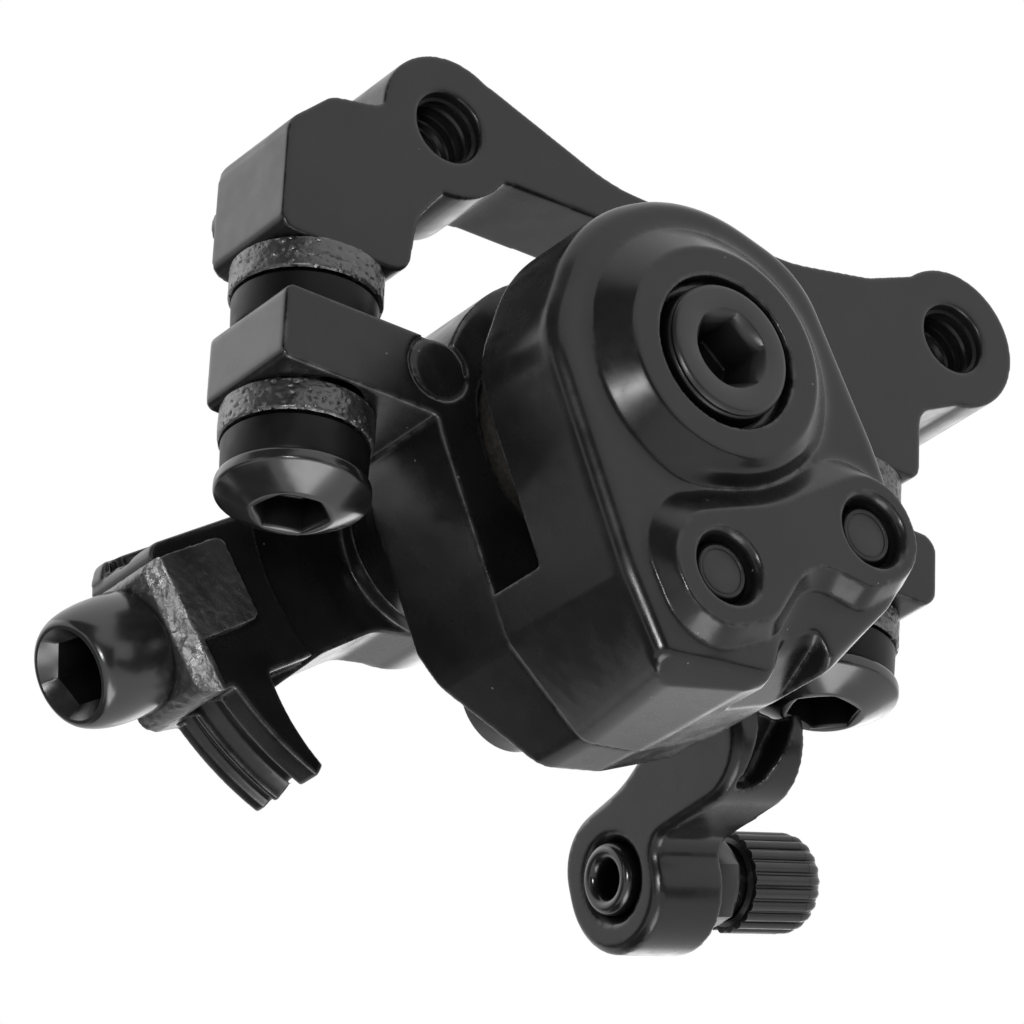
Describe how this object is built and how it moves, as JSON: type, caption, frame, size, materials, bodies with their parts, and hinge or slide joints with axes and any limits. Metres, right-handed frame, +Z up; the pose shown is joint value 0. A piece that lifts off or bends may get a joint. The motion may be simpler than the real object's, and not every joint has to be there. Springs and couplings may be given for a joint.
{
  "type": "mechanical disc brake caliper",
  "caption": "Cable-pulled disc brake caliper on a frame adapter: leaning two-piece body, hooked actuator arm with cable clamp, stop arm with knurled barrel adjuster.",
  "frame": {"origin": "midway between the two threaded frame holes, on the adapter's mounting face", "axes": "+X along the line of the two frame holes, +Y along their axes out of the mounting face and along the rotor axis from the cover to the arm, +Z up and away from the rotor axis"},
  "size_m": [0.0759, 0.0521, 0.0579],
  "materials": {
    "black_paint": "semi-gloss black paint over cast and machined metal",
    "washer_finish": "rough black finish, worn at the edges",
    "black_bolt": "smooth dark plated steel",
    "dark_steel": "dark ground steel",
    "steel": "plain steel",
    "bronze": "sintered bronze",
    "lining": "gritty friction lining",
    "rubber": "black rubber",
    "nylon": "natural nylon"
  },
  "bodies": {
    "caliper": {"caliper_body": "black_paint", "front_cover": "black_paint", "body_bolts": "dark_steel", "mount_adapter": "black_paint", "mount_bolts": "black_bolt", "upper_cup_washers": "washer_finish", "upper_dome_washers": "washer_finish", "lower_cup_washers": "washer_finish", "lower_dome_washers": "washer_finish", "thrust_washer": "nylon", "shaft_bush": "bronze", "dust_seal": "rubber", "return_spring": "steel"},
    "arm": {"actuator_arm": "black_paint", "cam_shaft": "steel", "arm_washer": "black_bolt", "arm_screw": "black_bolt", "cable_clamp_plate": "washer_finish", "cable_clamp_bolt": "black_bolt"},
    "cage": {"ball_cage": "nylon", "ramp_balls": "steel"},
    "moving_pad": {"piston": "steel", "piston_magnet": "steel", "moving_plate": "steel", "moving_lining": "lining"},
    "fixed_pad": {"fixed_plate": "steel", "fixed_lining": "lining"},
    "adjuster": {"pad_adjuster": "black_bolt", "adjuster_seal": "rubber", "adjuster_magnet": "steel"},
    "locknut": {"barrel_locknut": "black_bolt"},
    "barrel": {"barrel_adjuster": "black_bolt"}
  },
  "joints": [
    {"name": "arm_turn", "type": "hinge", "parent": "caliper", "child": "arm", "pos_m": [-0.0123, 0, -0.0244], "axis": [0, -1, 0], "range_deg": [0, 32], "stiffness_Nm_per_rad": 0.12, "springref_deg": -34.38, "deforming": ["return_spring"]},
    {"name": "cage_turn", "type": "hinge", "parent": "caliper", "child": "cage", "pos_m": [-0.0123, 0, -0.0244], "axis": [0, -1, 0], "range_deg": [0, 16.2]},
    {"name": "piston_slide", "type": "slide", "parent": "caliper", "child": "moving_pad", "axis": [0, -1, 0], "range_m": [0, 0.00202]},
    {"name": "fixed_pad_slide", "type": "slide", "parent": "caliper", "child": "fixed_pad", "axis": [0, 1, 0], "range_m": [0, 0.0017]},
    {"name": "adjuster_turn", "type": "hinge", "parent": "fixed_pad", "child": "adjuster", "pos_m": [-0.0123, 0, -0.0244], "axis": [0, 1, 0], "range_deg": [0, 612.5]},
    {"name": "locknut_slide", "type": "slide", "parent": "caliper", "child": "locknut", "axis": [0.9613, 0, 0.2756], "range_m": [0, 0.0024]},
    {"name": "barrel_turn", "type": "hinge", "parent": "locknut", "child": "barrel", "pos_m": [0.02392, 0.0135, -0.04189], "axis": [0.9613, 0, 0.2756], "range_deg": [0, 1080.5]}
  ],
  "couplings": [
    {"joint": "cage_turn", "follows": "arm_turn", "ratio": 0.5},
    {"joint": "piston_slide", "follows": "arm_turn", "m_per_rad": 0.003581},
    {"joint": "adjuster_turn", "follows": "fixed_pad_slide", "rad_per_m": 6283.2},
    {"joint": "barrel_turn", "follows": "locknut_slide", "rad_per_m": 7854}
  ]
}
